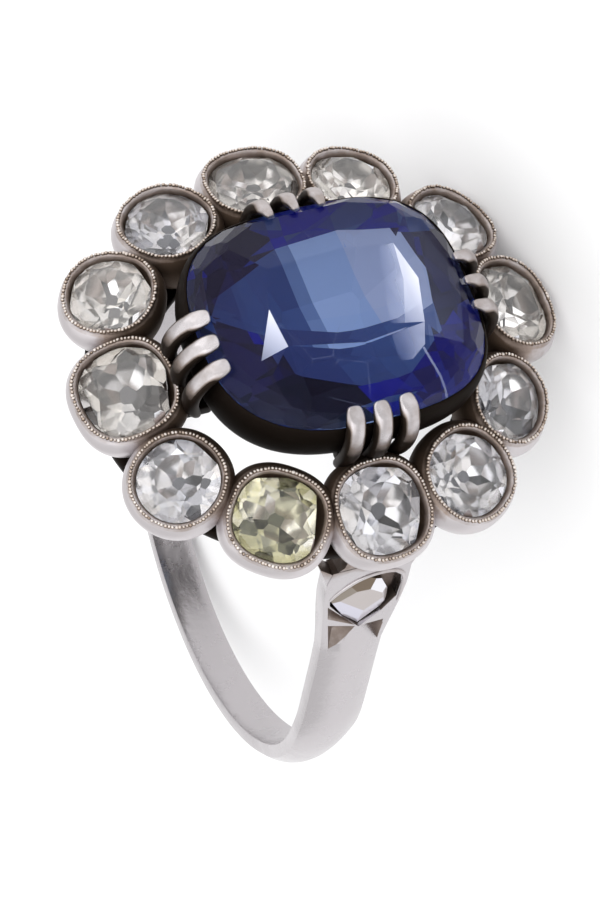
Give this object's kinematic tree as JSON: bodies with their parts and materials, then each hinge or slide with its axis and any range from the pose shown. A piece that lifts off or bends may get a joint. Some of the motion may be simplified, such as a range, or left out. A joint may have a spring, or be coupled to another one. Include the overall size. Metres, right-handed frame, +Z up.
{
  "type": "cluster ring",
  "caption": "Finger ring with an oblong cushion-cut blue stone in grouped claws, a halo of collet-set diamonds and kite-shaped shoulder stones, lying on its side.",
  "frame": {"origin": "On the floor below the centre of the ring's box; the ring lies on its side, on two collets of the halo and one edge of the hoop.", "axes": "+Z up from the floor. +X from the back of the hoop towards the head. The finger's axis leans from +Z, as the mount finger_hoop states. Upright, the ring is turned back by the two angles named in the source."},
  "size_m": [0.027, 0.0186, 0.018],
  "materials": {
    "white_metal": "polished white precious metal, satin on the collets, with dark tarnish in the recesses and beaded collet rims",
    "blue_stone": "faceted deep blue stone with light scratches on its table",
    "clear_stone": "faceted near colourless stone"
  },
  "bodies": {
    "root": {"ring_mount": "white_metal", "centre_stone": "blue_stone", "halo_stone_1": "clear_stone", "halo_stone_2": "clear_stone", "halo_stone_3": "clear_stone", "halo_stone_4": "clear_stone", "halo_stone_5": "clear_stone", "halo_stone_6": "clear_stone", "halo_stone_7": "clear_stone", "halo_stone_8": "clear_stone", "halo_stone_9": "clear_stone", "halo_stone_10": "clear_stone", "halo_stone_11": "clear_stone", "halo_stone_12": "clear_stone", "shoulder_stone_1": "clear_stone", "shoulder_stone_2": "clear_stone"}
  },
  "joints": []
}
